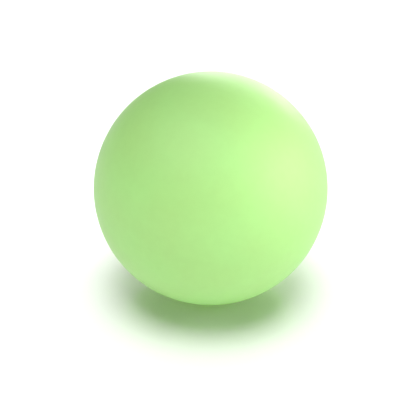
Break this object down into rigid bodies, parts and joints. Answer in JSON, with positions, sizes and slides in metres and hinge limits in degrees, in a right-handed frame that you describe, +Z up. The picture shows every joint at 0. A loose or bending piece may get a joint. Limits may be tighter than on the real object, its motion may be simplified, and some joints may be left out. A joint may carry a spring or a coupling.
{
  "type": "pickleball ball",
  "caption": "Smooth round pickleball of the quiet foam kind, with a seamless matte skin and no holes.",
  "frame": {"origin": "centre of the ball", "axes": "+Z up, through the crowns of the two foam cups, so the bond between them lies in the XY plane; X and Y are alike"},
  "size_m": [0.074, 0.074, 0.074],
  "materials": {
    "foam": "matte",
    "bond_adhesive": "satin",
    "base_coat": "matte",
    "colour_coat": "matte"
  },
  "bodies": {
    "root": {"upper_foam_cup": "foam", "lower_foam_cup": "foam", "bond_film": "bond_adhesive", "base_coat": "base_coat", "colour_coat": "colour_coat"}
  },
  "joints": []
}
